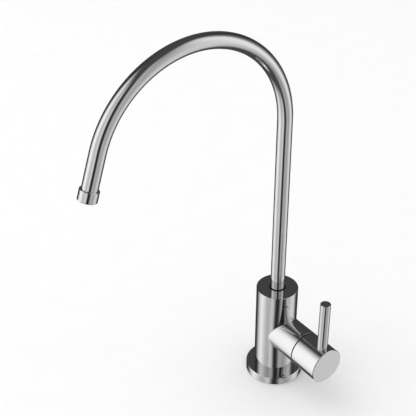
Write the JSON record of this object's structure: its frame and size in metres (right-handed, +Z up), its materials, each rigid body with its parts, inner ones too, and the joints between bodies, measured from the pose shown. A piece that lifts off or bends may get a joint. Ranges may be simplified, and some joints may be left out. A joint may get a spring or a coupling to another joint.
{
  "type": "drinking water filter tap",
  "caption": "Deck-mounted drinking water tap: round polished body, swivelling gooseneck spout and a side lever that turns a ceramic disc valve.",
  "frame": {"origin": "centre of the base on top of the deck, on the upright body's axis", "axes": "+Z up along the body; at rest the spout points to -Y and the side arm with its lever to +X"},
  "size_m": [0.0751, 0.1695, 0.3548],
  "materials": {
    "polished_steel": "mirror polished",
    "brass": "turned",
    "plain_steel": "turned",
    "black_plastic": "moulded",
    "white_plastic": "moulded",
    "ceramic": "lapped",
    "black_rubber": "moulded"
  },
  "bodies": {
    "base": {"tap_body": "polished_steel", "base_flange": "polished_steel", "flange_gasket": "black_rubber", "body_o_ring": "black_rubber", "mounting_shank": "brass", "shank_seal": "black_rubber", "spout_bush": "black_plastic", "spout_set_screw": "plain_steel", "seat_seal": "black_rubber", "fixed_disc": "ceramic", "cartridge_housing": "brass", "cartridge_o_ring": "black_rubber", "cartridge_nut": "brass", "inlet_adaptor": "white_plastic", "adaptor_seal": "black_rubber", "tube_o_ring": "black_rubber"},
    "spout": {"spout_tube": "polished_steel", "spout_tail": "brass", "spout_o_rings": "black_rubber", "outlet_ring": "polished_steel", "outlet_washer": "black_rubber", "outlet_screen": "plain_steel", "outlet_insert": "white_plastic"},
    "lever": {"lever_hub": "polished_steel", "lever_pin": "polished_steel", "lever_set_screw": "plain_steel", "hub_glide_ring": "black_plastic", "spindle": "brass", "spindle_o_ring": "black_rubber", "spindle_clip": "plain_steel", "moving_disc": "ceramic"},
    "deck_clamp": {"deck_gasket": "black_rubber", "deck_washer": "plain_steel"},
    "clamp_nut": {"lock_nut": "brass"},
    "collet": {"tube_collet": "white_plastic"}
  },
  "joints": [
    {"name": "spout_swivel", "type": "hinge", "parent": "base", "child": "spout", "pos_m": [0, 0, 0], "axis": [0, 0, 1], "continuous": true},
    {"name": "lever_turn", "type": "hinge", "parent": "base", "child": "lever", "pos_m": [0, 0, 0.0389], "axis": [1, 0, 0], "range_deg": [0, 90]},
    {"name": "clamp_travel", "type": "slide", "parent": "base", "child": "deck_clamp", "axis": [0, 0, 1], "range_m": [-0.01, 0.018]},
    {"name": "nut_turn", "type": "hinge", "parent": "deck_clamp", "child": "clamp_nut", "pos_m": [0, 0, 0], "axis": [0, 0, 1], "range_deg": [-2057, 3702]},
    {"name": "collet_release", "type": "slide", "parent": "base", "child": "collet", "axis": [0, 0, 1], "range_m": [0, 0.0015]}
  ],
  "couplings": [
    {"joint": "clamp_travel", "follows": "nut_turn", "m_per_rad": 0.00027852}
  ]
}
